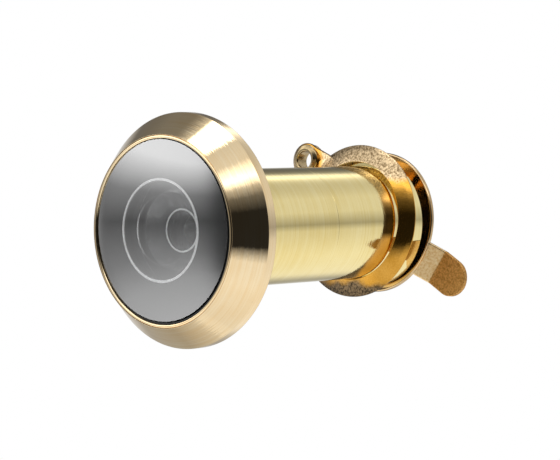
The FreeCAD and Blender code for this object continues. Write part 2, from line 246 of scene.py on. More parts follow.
def finished(made, body, slot, *nodes, material=None):
    """Smooth shading, the material of its slot or another one, and its place in the frame."""
    mesh = made.data
    work = bmesh.new()
    work.from_mesh(mesh)
    for face in work.faces:
        face.smooth = True
    for edge in work.edges:
        edge.smooth = edge.calc_face_angle(0) < SHARP
    work.to_mesh(mesh)
    work.free()
    weighting = made.modifiers.new("normals", "WEIGHTED_NORMAL")
    weighting.keep_sharp = True
    mesh.materials.clear()
    mesh.materials.append(MATERIALS[material or slot])
    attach(made, body)
    if nodes:
        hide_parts(*nodes)
    return made


# ---- materials ----------------------------------------------------------------------------------


def add(tree, kind, settings=None, **inputs):
    """A node of that kind. Its inputs are constants or the outputs of other nodes."""
    node = tree.nodes.new("ShaderNode" + kind)
    for name, value in (settings or {}).items():
        setattr(node, name, value)
    for name, value in inputs.items():
        socket = node.inputs[name.replace("_", " ")]
        if isinstance(value, bpy.types.NodeSocket):
            tree.links.new(value, socket)
        else:
            socket.default_value = value
    return node


def calculate(tree, operation, *values):
    """The result of a math node."""
    node = tree.nodes.new("ShaderNodeMath")
    node.operation = operation
    for index, value in enumerate(values):
        if isinstance(value, bpy.types.NodeSocket):
            tree.links.new(value, node.inputs[index])
        else:
            node.inputs[index].default_value = value
    return node.outputs[0]


def dot(tree, vector, direction):
    """The dot product of a vector output and a fixed direction."""
    node = add(tree, "VectorMath", {"operation": "DOT_PRODUCT"})
    tree.links.new(vector, node.inputs[0])
    node.inputs[1].default_value = direction
    return node.outputs["Value"]


def ramp(tree, factor, stops):
    """A colour ramp through (position, colour) stops; a plain number is a grey."""
    node = tree.nodes.new("ShaderNodeValToRGB")
    elements = node.color_ramp.elements
    while len(elements) < len(stops):
        elements.new(0.5)
    for element, (position, colour) in zip(elements, stops):
        element.position = position
        rgb = colour if isinstance(colour, tuple) else (colour,) * 3
        element.color = (*rgb, 1)
    tree.links.new(factor, node.inputs[0])
    return node.outputs[0]


def new_material(name):
    """A material with a Principled shader, and its tree."""
    material = bpy.data.materials.new(name)
    material.use_nodes = True
    tree = material.node_tree
    tree.nodes.clear()
    shader = add(tree, "BsdfPrincipled")
    output = add(tree, "OutputMaterial")
    tree.links.new(shader.outputs[0], output.inputs["Surface"])
    return material, tree, shader


def stretched(tree, around, along):
    """Coordinates whose features are so many millimetres long round the axis and along the outline."""
    place = add(tree, "SeparateXYZ", Vector=add(tree, "TexCoord").outputs["Object"])
    line = add(tree, "SeparateXYZ", Vector=add(tree, "UVMap", {"uv_map": "turning"}).outputs[0])
    return add(tree, "CombineXYZ",
               X=calculate(tree, "MULTIPLY", place.outputs["X"], 1 / (around * MM)),
               Y=calculate(tree, "MULTIPLY", line.outputs["Y"], 1 / along),
               Z=calculate(tree, "MULTIPLY", place.outputs["Z"], 1 / (around * MM))).outputs[0]


def evenly(tree, size):
    """Coordinates whose features are so many millimetres across."""
    place = add(tree, "TexCoord").outputs["Object"]
    return add(tree, "VectorMath", {"operation": "SCALE"}, Vector=place, Scale=1 / (size * MM)).outputs[0]


def noise(tree, vector, detail=3.0, roughness=0.55):
    """A noise from 0 to 1 over those coordinates."""
    return add(tree, "TexNoise", Vector=vector, Scale=1.0, Detail=detail, Roughness=roughness).outputs[0]


def turned_metal(name, light, deep, gloss, line_height, line_size=0.25):
    """Plated metal with turning lines: bright, with a slow tint and streaks that follow the lines."""
    material, tree, shader = new_material(name)
    fine = noise(tree, stretched(tree, 14.0, line_size), 4.0)
    broken = noise(tree, stretched(tree, 1.6, line_size * 1.7), 2.0)
    slow = noise(tree, evenly(tree, 5.0), 3.0)
    specks = noise(tree, evenly(tree, 0.35), 2.0)
    tint = calculate(tree, "MULTIPLY_ADD", fine, 0.55, calculate(tree, "MULTIPLY", slow, 0.45))
    colour = ramp(tree, tint, [(0.32, deep), (0.62, light)])
    spots = ramp(tree, specks, [(0.74, 0.0), (0.82, 1.0)])
    stained = add(tree, "Mix", {"data_type": "RGBA"}, Factor=calculate(tree, "MULTIPLY", spots, 0.3))
    tree.links.new(colour, stained.inputs["A"])
    stained.inputs["B"].default_value = (*(channel * 0.55 for channel in deep), 1)
    tree.links.new(stained.outputs["Result"], shader.inputs["Base Color"])
    shader.inputs["Metallic"].default_value = 1.0
    rough = calculate(tree, "MULTIPLY_ADD", fine, gloss * 0.9, gloss * 0.55)
    tree.links.new(calculate(tree, "MULTIPLY_ADD", spots, 0.12, rough), shader.inputs["Roughness"])
    height = calculate(tree, "MULTIPLY_ADD", broken, 0.8, fine)
    bump = add(tree, "Bump", Height=height, Strength=1.0, Distance=line_height * MM)
    tree.links.new(bump.outputs[0], shader.inputs["Normal"])
    return material


def crowned(tree, normal):
    """The normal, tilted away from the loose ring's axis as on a face that is rounded outwards."""
    place = add(tree, "VectorMath", {"operation": "SUBTRACT"})
    tree.links.new(add(tree, "TexCoord").outputs["Object"], place.inputs[0])
    place.inputs[1].default_value = LEAN.translation
    aside = add(tree, "VectorMath", {"operation": "CROSS_PRODUCT"})
    tree.links.new(place.outputs[0], aside.inputs[0])
    aside.inputs[1].default_value = LEAN.col[1].to_3d()
    radius = add(tree, "VectorMath", {"operation": "LENGTH"}, Vector=aside.outputs[0]).outputs["Value"]
    drop = calculate(tree, "MULTIPLY", radius, -RING_CROWN)
    return add(tree, "Bump", Height=drop, Strength=1.0, Distance=1.0, Normal=normal).outputs[0]


def away_from_pivot(tree, near, far):
    """0 within the first distance from the flap's pivot, in millimetres, and 1 past the second."""
    place = add(tree, "VectorMath", {"operation": "DISTANCE"})
    tree.links.new(add(tree, "TexCoord").outputs["Object"], place.inputs[0])
    place.inputs[1].default_value = joint("flap_swing")["pos_m"]
    return add(tree, "MapRange", {"interpolation_type": "SMOOTHSTEP"}, Value=place.outputs["Value"],
               From_Min=near * MM, From_Max=far * MM).outputs[0]


def tumbled_metal(name, light, deep, gloss, grain_height, patches=(), crown=False):
    """Stamped and tumbled metal: a fine orange-peel grain over shallow dents. Each matt, speckled patch
    is (direction, where it starts, how far its edge wanders, dark colour, light colour); it stays off
    the ear round the pivot. The patch colours on the ring's lower side are painted shade, and those on
    the tab's step are painted light."""
    material, tree, shader = new_material(name)
    grain = noise(tree, evenly(tree, 0.16), 4.0, 0.6)
    dents = noise(tree, evenly(tree, 0.7), 2.0)
    slow = noise(tree, evenly(tree, 3.2), 3.0)
    tint = calculate(tree, "MULTIPLY_ADD", grain, 0.5, calculate(tree, "MULTIPLY", slow, 0.5))
    colour = ramp(tree, tint, [(0.36, deep), (0.6, light)])
    shader.inputs["Metallic"].default_value = 1.0
    rough = calculate(tree, "MULTIPLY_ADD", slow, gloss * 0.8, gloss * 0.5)
    rough = calculate(tree, "MULTIPLY_ADD", grain, gloss * 0.4, rough)
    height = calculate(tree, "MULTIPLY_ADD", dents, 1.2, grain)
    pits = noise(tree, evenly(tree, 0.26), 3.0, 0.6)
    for direction, start, wander, dark, pale in patches:
        reach = dot(tree, add(tree, "TexCoord").outputs["Object"], direction)
        uneven = calculate(tree, "MULTIPLY_ADD", slow, wander * MM, reach)
        # Each patch's mask: wear on the ring's upper side, painted shade on its lower side, painted light on
        # the tab's step, the browner tab tip.
        wear_and_painted_light = add(tree, "MapRange", {"interpolation_type": "SMOOTHSTEP"}, Value=uneven,
                   From_Min=start * MM, From_Max=(start + 0.4 * wander) * MM).outputs[0]
        patch = calculate(tree, "MULTIPLY", wear_and_painted_light, away_from_pivot(tree, EAR_RADIUS, EAR_CLEAR))
        speckled = ramp(tree, pits, [(0.36, dark), (0.62, pale)])
        wear_and_painted_light_colour = add(tree, "Mix", {"data_type": "RGBA"}, Factor=patch)
        tree.links.new(colour, wear_and_painted_light_colour.inputs["A"])
        tree.links.new(speckled, wear_and_painted_light_colour.inputs["B"])
        colour = wear_and_painted_light_colour.outputs["Result"]
        rough = calculate(tree, "MULTIPLY_ADD", patch, 0.22, rough)
        height = calculate(tree, "MULTIPLY_ADD", calculate(tree, "MULTIPLY", pits, patch), 3.0, height)
    tree.links.new(colour, shader.inputs["Base Color"])
    tree.links.new(rough, shader.inputs["Roughness"])
    bump = add(tree, "Bump", Height=height, Strength=1.0, Distance=grain_height * MM).outputs[0]
    tree.links.new(crowned(tree, bump) if crown else bump, shader.inputs["Normal"])
    return material


def black_moulding(name, shade, gloss):
    """Black plastic or rubber with a fine matt grain and paler dust in it."""
    material, tree, shader = new_material(name)
    grain = noise(tree, evenly(tree, 0.12), 4.0)
    dust = noise(tree, evenly(tree, 0.9), 3.0)
    mix = calculate(tree, "MULTIPLY_ADD", grain, 0.4, calculate(tree, "MULTIPLY", dust, 0.6))
    colour = ramp(tree, mix, [(0.35, shade), (0.7, tuple(channel * 1.8 for channel in shade))])
    tree.links.new(colour, shader.inputs["Base Color"])
    tree.links.new(calculate(tree, "MULTIPLY_ADD", grain, 0.2, gloss), shader.inputs["Roughness"])
    bump = add(tree, "Bump", Height=grain, Strength=1.0, Distance=0.004 * MM)
    tree.links.new(bump.outputs[0], shader.inputs["Normal"])
    return material


def ground_glass(name):
    """White ground glass with a fine grain. Its emission is a painted glow, standing in for the light that
    the lens gathers.
    """
    material, tree, shader = new_material(name)
    grain = noise(tree, evenly(tree, 0.3), 3.0)
    colour = ramp(tree, grain, [(0.3, 0.75), (0.7, 0.95)])
    tree.links.new(colour, shader.inputs["Base Color"])
    tree.links.new(colour, shader.inputs["Emission Color"])
    shader.inputs["Emission Strength"].default_value = PAINTED_EDGE_GLOW
    tree.links.new(calculate(tree, "MULTIPLY_ADD", grain, 0.3, 0.4), shader.inputs["Roughness"])
    return material


def optical_glass(name, tint, coat=0.0):
    """Clear glass with faint smears and a few grains of dust, and a reflecting coat if asked for."""
    material, tree, shader = new_material(name)
    smear = noise(tree, evenly(tree, 4.0), 4.0)
    grains = noise(tree, evenly(tree, 0.3), 1.0)
    colour = ramp(tree, smear, [(0.3, tint), (0.7, 1.0)])
    tree.links.new(colour, shader.inputs["Base Color"])
    shader.inputs["Transmission Weight"].default_value = 1.0
    shader.inputs["IOR"].default_value = 1.52
    shader.inputs["Coat Weight"].default_value = coat
    shader.inputs["Coat IOR"].default_value = 3.2
    shader.inputs["Coat Roughness"].default_value = 0.0
    dusty = ramp(tree, grains, [(0.78, 0.0), (0.84, 0.35)])
    tree.links.new(dusty, shader.inputs["Roughness"])
    return material


ROSE_GOLD = (0.97, 0.79, 0.51)
ROSE_DEEP = (0.90, 0.66, 0.36)
PALE_GOLD = (0.97, 0.83, 0.42)
PALE_DEEP = (0.88, 0.70, 0.28)
RING_GOLD = (0.74, 0.39, 0.07)
RING_DEEP = (0.56, 0.27, 0.03)
RIVET_GOLD = (0.58, 0.44, 0.24)
RIVET_DEEP = (0.27, 0.20, 0.10)
MATT_LIGHT = (0.92, 0.70, 0.42)
MATT_DEEP = (0.26, 0.17, 0.08)
# Painted shade for the ring's lower side: dark colours that stand in for the dark surroundings it reflects.
PAINTED_SHADE_LIGHT = (0.25, 0.17, 0.09)
PAINTED_SHADE_DEEP = (0.03, 0.022, 0.012)
TAB_LIGHT = (0.78, 0.45, 0.15)
TAB_DEEP = (0.46, 0.24, 0.06)
# Painted light for the tab's sloped step: paler colours that make it look more brightly lit.
PAINTED_LIGHT_STEP_PALE = (1.0, 0.76, 0.42)
PAINTED_LIGHT_STEP_DEEP = (0.82, 0.52, 0.21)
FLAP_GOLD = (0.74, 0.54, 0.30)
FLAP_DEEP = (0.52, 0.36, 0.19)
RAW_GOLD = (0.80, 0.62, 0.30)
RAW_DEEP = (0.55, 0.38, 0.14)

EAR_RADIUS = 2.4
EAR_CLEAR = 3.2
RUBBED_SIDE = Vector((0.74, 0.03, 0.67))
STEP_INSET = 0.6
TAB_SIDE = LEAN.to_3x3() @ Matrix.Rotation(TAB_TURN, 3, "Y") @ Vector((0, 0, -1))
TAB_ZERO = TAB_SIDE.dot(LEAN.translation) / MM

MATERIALS = {
    "plated_head": turned_metal("head_plating", ROSE_GOLD, ROSE_DEEP, 0.05, 0.011),
    "plated_barrel": turned_metal("barrel_plating", ROSE_GOLD, ROSE_DEEP, 0.10, 0.0030),
    "plated_sleeve": turned_metal("sleeve_plating", PALE_GOLD, PALE_DEEP, 0.05, 0.0055),
    "inner_brass": turned_metal("raw_brass", RAW_GOLD, RAW_DEEP, 0.25, 0.002),
    # The ring's upper patch is rubbed metal; its lower patch is painted shade.
    "plated_ring": tumbled_metal("ring_plating", RING_GOLD, RING_DEEP, 0.10, 0.0035,
                                 [(RUBBED_SIDE, 7.0, 3.0, MATT_DEEP, MATT_LIGHT),
                                  (-RUBBED_SIDE, 7.6, 3.0, PAINTED_SHADE_DEEP, PAINTED_SHADE_LIGHT)], True),
    "rivet_brass": tumbled_metal("rivet_plating", RIVET_GOLD, RIVET_DEEP, 0.16, 0.003),
    # The flap's first patch is painted light on the tab's sloped step; the second is the browner tip past the
    # bend.
    "plated_flap": tumbled_metal("flap_plating", FLAP_GOLD, FLAP_DEEP, 0.12, 0.0025,
                                 [(TAB_SIDE, TAB_ZERO + TAB_ROOT + STEP_INSET, 0.6, PAINTED_LIGHT_STEP_DEEP, PAINTED_LIGHT_STEP_PALE),
                                  (TAB_SIDE, TAB_ZERO + TAB_BEND, 0.3, TAB_DEEP, TAB_LIGHT)]),
    "black_seal": black_moulding("seal_rubber", (0.012, 0.013, 0.013), 0.45),
    "black_plastic": black_moulding("holder_plastic", (0.02, 0.021, 0.022), 0.35),
    "front_glass": optical_glass("front_lens_glass", (0.84, 0.88, 0.90), 1.0),
    # The ground edges' glass glows: painted light.
    "ground_glass": ground_glass("hollow_edge_glass"),
    "small_glass": optical_glass("small_lens_glass", (0.90, 0.93, 0.92)),
    "eyepiece_glass": optical_glass("eyepiece_lens_glass", (0.93, 0.95, 0.92)),
}

# ---- head ---------------------------------------------------------------------------------------


def bezel():
    """The cone between the lens's lip and the rim, with the seat and its recess behind."""
    bore = BARREL_HIGH.x + LAYER_GAP
    rim = HEAD_HIGH.x
    front = HEAD_LOW.y
    rim_front = -1.38
    recess = TUBE_RADIUS + 0.4
    recess_floor = -0.9
    hole = THREAD_RADIUS + 0.05
    floor_front = CUP_BACK + 0.05
    made = object_from(turned(rounded([
        (bore, front, 0.01),
        (bore + 0.04, front, 0.02),
        (rim, rim_front, 0.10),
        (rim, 0.0, 0.24),
        (recess, 0.0, 0.05),
        (recess, recess_floor),
        (hole, recess_floor),
        (hole, floor_front),
        (bore, floor_front),
    ])), "bezel")
    return finished(made, "objective", "plated_head", "head_bezel")


def thread_depth_at(point, start, end):
    """How deep the screw thread is cut at a point of the tube."""
    run_out = 0.6
    station = point.y / MM
    turn = math.atan2(point.x, point.z) / FULL_TURN
    phase = (station - start) / THREAD_PITCH - turn
    fade = min(1, max(0, (station - start) / THREAD_PITCH)) * min(1, max(0, (end - station) / run_out))
    return THREAD_DEPTH * fade * (0.5 - 0.5 * math.cos(FULL_TURN * phase))


def barrel():
    """The cup with its rolled lip, and the tube with its screw thread."""
    cup = BARREL_HIGH.x
    back = BARREL_HIGH.y
    bore = 5.3
    pocket = SEAL_HIGH.x
    chamfer = 0.3
    start, end = -0.6, back - chamfer
    rows_per_mm = 8
    rows = int((end - start) * rows_per_mm)
    tube = [(THREAD_RADIUS, start + (end - start) * row / rows) for row in range(rows + 1)]
    work = turned(rounded([
        (pocket, BARREL_LOW.y, 0.17),
        (cup, BARREL_LOW.y, 0.21),
        (cup, CUP_BACK, 0.1),
        (THREAD_RADIUS, CUP_BACK),
        *tube,
        (THREAD_RADIUS - chamfer, back),
        (bore, back, 0.1),
        (bore, POCKET_FLOOR),
        (pocket, POCKET_FLOOR),
    ]))
    crest = 0.01
    for vertex in work.verts:
        radius = math.hypot(vertex.co.x, vertex.co.z)
        if abs(radius / MM - THREAD_RADIUS) < crest and vertex.co.y / MM > start:
            share = 1 - thread_depth_at(vertex.co, start, end) * MM / radius
            vertex.co.x *= share
            vertex.co.z *= share
    made = object_from(work, "barrel")
    return finished(made, "objective", "plated_barrel", "objective_barrel")


def seal():
    """The black ring round the edge of the front lens."""
    inner = LENS_HIGH.x + LAYER_GAP
    outer = SEAL_HIGH.x
    shelf = 9.9
    made = object_from(turned(rounded([
        (inner, SEAL_LOW.y, 0.03),
        (outer, SEAL_LOW.y, 0.03),
        (outer, SEAL_HIGH.y, 0.05),
        (shelf, SEAL_HIGH.y, 0.05),
        (shelf, LENS_HIGH.y, 0.03),
        (inner, LENS_HIGH.y),
    ])), "seal")
    return finished(made, "objective", "black_seal", "lens_seal")


def front_lens():
    """The domed front lens, with a spherical hollow in its back; the rest of the back is blackened."""
    edge = SEAL_HIGH.x - 0.23
    made = object_from(turned(rounded([
        *dome(LENS_LOW.y, edge, DOME_RIM, 48),
        (edge, SEAL_LOW.y - LAYER_GAP),
        (edge, LENS_HIGH.y, 0.12),
        (HOLLOW_RADIUS + 0.05, HOLLOW_RIM),
        *reversed(dome(HOLLOW_POLE, HOLLOW_RADIUS, HOLLOW_RIM - 0.04, 30)),
    ])), "front_lens")
    made.data.transform(Matrix.Translation((0, 0, LENS_REST * MM)))
    finished(made, "objective", "front_glass", "objective_lens")
    made.data.materials.append(MATERIALS["small_glass"])
    made.data.materials.append(MATERIALS["black_seal"])
    dome_glass, hollow_glass, blackening = range(3)
    for face in made.data.polygons:
        outside = math.hypot(face.center.x, face.center.z) > HOLLOW_RADIUS * MM
        back = blackening if outside else hollow_glass
        face.material_index = back if face.normal.y > -0.5 else dome_glass
    return made


def ground_ring(name, inner, outer, front, back):
    """A thin ring about the barrel's axis, with a rounded square section."""
    section = [(inner, front), (outer, front), (outer, back), (inner, back)]
    return object_from(turned(rounded([(*point, 0.03) for point in section])), name)


def hollow_edge():
    """The ground edge of the hollow, seen through the front lens; its brightness is a painted glow."""
    made = ground_ring("hollow_edge", HOLLOW_RADIUS - 0.12, HOLLOW_RADIUS + 0.14, HOLLOW_RIM - 0.20,
                       HOLLOW_RIM - 0.08)
    made.data.transform(Matrix.Translation((0, 0, LENS_REST * MM)))
    return finished(made, "objective", "front_glass", material="ground_glass")


def throat_edge():
    """The ground edge of the second lens, seen in the holder's throat; its brightness is a painted glow."""
    made = ground_ring("throat_edge", THROAT - 0.30, THROAT - 0.04, THROAT_FRONT - 0.14, THROAT_FRONT - 0.02)
    return finished(made, "objective", "small_glass", material="ground_glass")


def holder():
    """The black funnel behind the front lens."""
    flange = HOLDER_HIGH.x
    mouth = 4.95
    outer = 5.25
    bore = 4.3
    throat_back = 1.0
    made = object_from(turned(rounded([
        (mouth, HOLDER_LOW.y, 0.04),
        (flange, HOLDER_LOW.y, 0.04),
        (flange, POCKET_FLOOR),
        (outer, POCKET_FLOOR),
        (outer, HOLDER_HIGH.y, 0.05),
        (bore, HOLDER_HIGH.y, 0.05),
        (bore, throat_back),
        (THROAT, throat_back, 0.05),
        (THROAT, THROAT_FRONT, 0.05),
    ])), "holder")
    return finished(made, "objective", "black_plastic", "lens_holder")


def small_lens():
    """The lens in the holder's throat, flat in front and hollow behind."""
    edge = SECOND_HIGH.x
    hollow, hollow_pole = 3.4, 1.648
    made = object_from(turned(rounded([
        (0, SECOND_LOW.y),
        (edge, SECOND_LOW.y, 0.05),
        (edge, SECOND_HIGH.y, 0.05),
        *reversed(dome(hollow_pole, hollow, SECOND_HIGH.y)),
    ])), "small_lens")
    return finished(made, "objective", "small_glass", "second_lens")


def middle_lens():
    """The third lens of the barrel, domed on both faces."""
    edge = THIRD_HIGH.x
    domed = 4.2
    front, back = 8.05, 9.45
    made = object_from(turned(rounded([
        *dome(THIRD_LOW.y, domed, front),
        (edge, front, 0.05),
        (edge, back, 0.05),
        *reversed(dome(THIRD_HIGH.y, domed, back)),
    ])), "middle_lens")
    return finished(made, "objective", "small_glass", "third_lens")


# ---- eyepiece -----------------------------------------------------------------------------------


def slot_cutter(side, width, inner, outer, bottom, top):
    """A block that cuts one slot, out to one side of the axis."""
    work = bmesh.new()
    bmesh.ops.create_cube(work, size=1.0)
    made = object_from(work, "cutter")
    size = Vector((outer - inner, top - bottom, width)) * MM
    middle = Vector((side * (outer + inner) / 2, (top + bottom) / 2, 0)) * MM
    made.data.transform(Matrix.Translation(middle) @ Matrix.Diagonal(size).to_4x4())
    return made


def sleeve():
    """The smooth tube with its flange, two coin slots and a flared window."""
    flange = SLEEVE_HIGH.x
    back = SLEEVE_HIGH.y
    front = SLEEVE_LOW.y
    flange_front = 31.0
    ledge = 31.8
    window, flare, flare_depth = 4.6, 5.4, 0.8
    mark_depth, mark_side = 0.02, 0.05
    made = object_from(turned(rounded([
        (SLEEVE_BORE, front, 0.05),
        (TUBE_RADIUS, front, 0.15),
        (TUBE_RADIUS, TOOL_MARK - mark_side),
        (TUBE_RADIUS - mark_depth, TOOL_MARK),
        (TUBE_RADIUS, TOOL_MARK + mark_side),
        (TUBE_RADIUS, flange_front, 0.05),
        (flange, flange_front, 0.18),
        (flange, back, 0.2),
        (flare, back, 0.12),
        (window, back - flare_depth, 0.1),
        (window, ledge, 0.03),
        (SLEEVE_BORE, ledge),
    ])), "sleeve")
    width, depth, inner = 1.5, 0.7, 5.6
    cutters = [slot_cutter(side, width, inner, flange + 1, back - depth, back + 1) for side in (1, -1)]
    combined(made, cutters, "DIFFERENCE")
    return finished(made, "eyepiece", "plated_sleeve", "eyepiece_sleeve")


def eye_lens():
    """The lens behind the window, domed into it."""
    edge = EYE_HIGH.x
    domed, rim = 4.5, 31.75
    made = object_from(turned(rounded([
        (0, EYE_LOW.y),
        (edge, EYE_LOW.y, 0.05),
        (edge, rim, 0.05),
        *reversed(dome(EYE_HIGH.y, domed, rim)),
    ])), "eye_lens")
    return finished(made, "eyepiece_optics", "eyepiece_glass", "eyepiece_lens")


# ---- cover ring, rivet and flap: made in the leaning frame ---------------------------------------


def plate(name, loops, thickness, edge):
    """A flat plate in the XZ plane from closed loops of (x, z), with rounded edges, towards +Y."""
    curve = bpy.data.curves.new(name, "CURVE")
    curve.dimensions = "2D"
    curve.fill_mode = "BOTH"
    curve.extrude = (thickness / 2 - edge) * MM
    curve.bevel_depth = edge * MM
    curve.bevel_resolution = 2
    curve.offset = -edge * MM
    for loop in loops:
        spline = curve.splines.new("POLY")
        spline.points.add(len(loop) - 1)
        for point, (across, up) in zip(spline.points, loop):
            point.co = (across * MM, up * MM, 0, 1)
        spline.use_cyclic_u = True
    drawn = bpy.data.objects.new(name, curve)
    bpy.context.scene.collection.objects.link(drawn)
    bpy.context.view_layer.update()
    mesh = bpy.data.meshes.new_from_object(drawn.evaluated_get(bpy.context.evaluated_depsgraph_get()))
    bpy.data.objects.remove(drawn)
    work = bmesh.new()
    work.from_mesh(mesh)
    bmesh.ops.remove_doubles(work, verts=work.verts, dist=TINY)
    upright = Matrix(((1, 0, 0), (0, 0, 1), (0, 1, 0))).to_4x4()
    raised = Matrix.Translation((0, thickness / 2 * MM, 0)) @ upright
    bmesh.ops.transform(work, matrix=raised, verts=work.verts)
    return object_from(work, name)


def circle(radius, centre=0.0, count=SEGMENTS):
    """The (x, z) points of a circle with its centre on the Z axis."""
    angles = [FULL_TURN * step / count for step in range(count)]
    return [(radius * math.sin(angle), centre + radius * math.cos(angle)) for angle in angles]


def arc(radius, centre, start, stop, count=32):
    """The (x, z) points of an arc about a point of the Z axis; angles from +Z towards +X."""
    angles = [math.radians(start + (stop - start) * step / count) for step in range(count + 1)]
    return [(radius * math.sin(angle), centre + radius * math.cos(angle)) for angle in angles]


def ring():
    """The loose stamped ring with its ear."""
    ear = 2.17
    half_neck = 2.95
    foot = 8.6
    shoulder = foot + 0.65
    leave = math.degrees(math.atan2(half_neck, foot)) + 1.5
    washer = object_from(turned(rounded([
        (RING_HOLE, -RING_DISH, 0.08),
        (RING_RADIUS - 0.6, 0.02, 3.0),
        (RING_RADIUS, 0.27, 0.06),
        (RING_RADIUS, RING_SHEET, 0.06),
        (RING_HOLE, RING_SHEET - RING_DISH, 0.06),
    ])), "ring")
    outline = (arc(RING_RADIUS - 0.9, 0, leave + 2, -leave - 2, 24)
               + [(-half_neck, shoulder)] + arc(ear, PIVOT, -88, 88) + [(half_neck, shoulder)])
    eared = plate("ear", [outline, circle(RIVET_SHANK, PIVOT, 64)], RING_SHEET, 0.12)
    made = combined(washer, [eared], "UNION")
    made.data.transform(LEAN)
    return finished(made, "cover_ring", "plated_ring", "cover_ring")


def rivet():
    """The hollow rivet: a thin tube with both ends rolled outwards."""
    front = -0.35
    back = FLAP_EAR_FRONT + FLAP_SHEET + 0.06
    high = 0.35
    made = object_from(turned(rounded([
        (RIVET_BORE, front, 0.16),
        (RIVET_SHANK + 0.1, front, 0.12),
        (RIVET_HEAD + 0.03, -0.12, 0.2),
        (RIVET_HEAD + 0.03, 0, 0.03),
        (RIVET_SHANK, 0),
        (RIVET_SHANK, back),
        (RIVET_HEAD, back, 0.05),
        (RIVET_HEAD, back + high, 0.26),
        (RIVET_BORE, back + high, 0.22),
    ]), segments=96), "rivet")
    made.data.transform(LEAN @ Matrix.Translation((0, 0, PIVOT * MM)))
    return finished(made, "cover_ring", "rivet_brass", "pivot_rivet")


def tab_strip():
    """The thumb tab: a strip with rounded edges that steps back, then runs flat to a round end."""
    width, thickness = 4.6, FLAP_SHEET - LAYER_GAP
    step = 1.4
    inside = 7.0
    straight_steps, round_steps = 40, 16
    taper = thickness / 2 * 2.2
    least = 0.01
    work = bmesh.new()
    uv = work.loops.layers.uv.new("turning")
    half = width / 2
    round_start = TAB_TIP - half
    stations = [inside + (round_start - inside) * index / straight_steps
                for index in range(straight_steps + 1)]
    stations += [round_start + half * math.sin(math.pi / 2 * index / round_steps)
                 for index in range(1, round_steps)]
    section = rounded([(-1, -1, 0.25), (1, -1, 0.25), (1, 1, 0.25), (-1, 1, 0.25)])
    rings = []
    for station in stations:
        share = min(1, max(0, (station - TAB_ROOT) / (TAB_BEND - TAB_ROOT)))
        rise = step * share
        past = max(0, station - round_start)
        reach = math.sqrt(max(half * half - past * past, least))
        ring_points = []
        for across, through in section:
            side = math.copysign(reach - (1 - abs(across)) * taper, across)
            height = FLAP_FRONT + FLAP_SHEET / 2 + rise + through * thickness / 2
            ring_points.append(work.verts.new((side * MM, height * MM, -station * MM)))
        rings.append(ring_points)
    count = len(section)
    for index in range(len(rings) - 1):
        for place in range(count):
            following = (place + 1) % count
            work.faces.new((rings[index][place], rings[index][following],
                            rings[index + 1][following], rings[index + 1][place]))
    work.faces.new(rings[0])
    work.faces.new(rings[-1])
    for face in work.faces:
        for loop in face.loops:
            loop[uv].uv = (loop.vert.co.x / MM, loop.vert.co.z / MM)
    made = object_from(work, "tab")
    made.data.transform(Matrix.Rotation(TAB_TURN, 4, "Y"))
    return made


def flap():
    """The disc, the arm that reaches it from the rivet past the flange, and the thumb tab."""
    back = FLAP_FRONT + FLAP_SHEET
    disc = object_from(turned(rounded([
        (0, FLAP_FRONT),
        (FLAP_RADIUS, FLAP_FRONT, 0.2),
        (FLAP_RADIUS, back, 0.2),
        (0, back),
    ])), "flap")
    disc.data.transform(Matrix.Translation((0, 0, FLAP_CENTRE * MM)))
    inner, outer, half_angle = 2.25, 2.88, 42.0
    near, far = 1.7, 4.4
    ear_sink, disc_sink = 0.01, 0.02
    ear_back = FLAP_EAR_FRONT + FLAP_SHEET
    spread = math.radians(half_angle)
    arm = object_from(turned(rounded([
        (near, FLAP_EAR_FRONT + ear_sink),
        (outer, FLAP_EAR_FRONT + ear_sink, 0.35),
        (outer, FLAP_FRONT + disc_sink),
        (far, FLAP_FRONT + disc_sink),
        (far, back - disc_sink),
        (inner, back - disc_sink, 0.45),
        (inner, ear_back - ear_sink, 0.08),
        (near, ear_back - ear_sink),
    ]), math.pi - spread, 2 * spread, 40), "arm")
    arm.data.transform(Matrix.Translation((0, 0, PIVOT * MM)))
    ear_outline = arc(2.05, PIVOT, -100, 100) + arc(2.6, PIVOT, 180 - half_angle, 180 + half_angle, 16)
    ear = plate("ear", [ear_outline, circle(RIVET_SHANK + 0.05, PIVOT, 64)], FLAP_SHEET, 0.07)
    ear.data.transform(Matrix.Translation((0, FLAP_EAR_FRONT * MM, 0)))
    made = combined(disc, [arm, ear, tab_strip()], "UNION")
    made.data.transform(LEAN)
    return finished(made, "cover_flap", "plated_flap", "cover_flap")


def inner_pieces():
    """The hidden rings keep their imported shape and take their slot's material."""
    for node, slot in (("front_spacer", "black_plastic"), ("lens_retainer", "inner_brass"),
                       ("field_stop", "black_plastic"), ("eyepiece_clamp", "inner_brass")):
        mesh = frame["nodes"][node].data
        mesh.materials.clear()
        mesh.materials.append(MATERIALS[slot])


# ---- studio -------------------------------------------------------------------------------------

CAMERA_AT = Vector((0.1408, -0.2082, -0.1447))
CAMERA_BACK = Vector((0.4683, -0.7426, -0.4789)).normalized()
CAMERA_UP = Vector((0.7404, 0.0340, 0.6713))
CAMERA_RIGHT = CAMERA_UP.cross(CAMERA_BACK).normalized()
CAMERA_LENS = 160.7

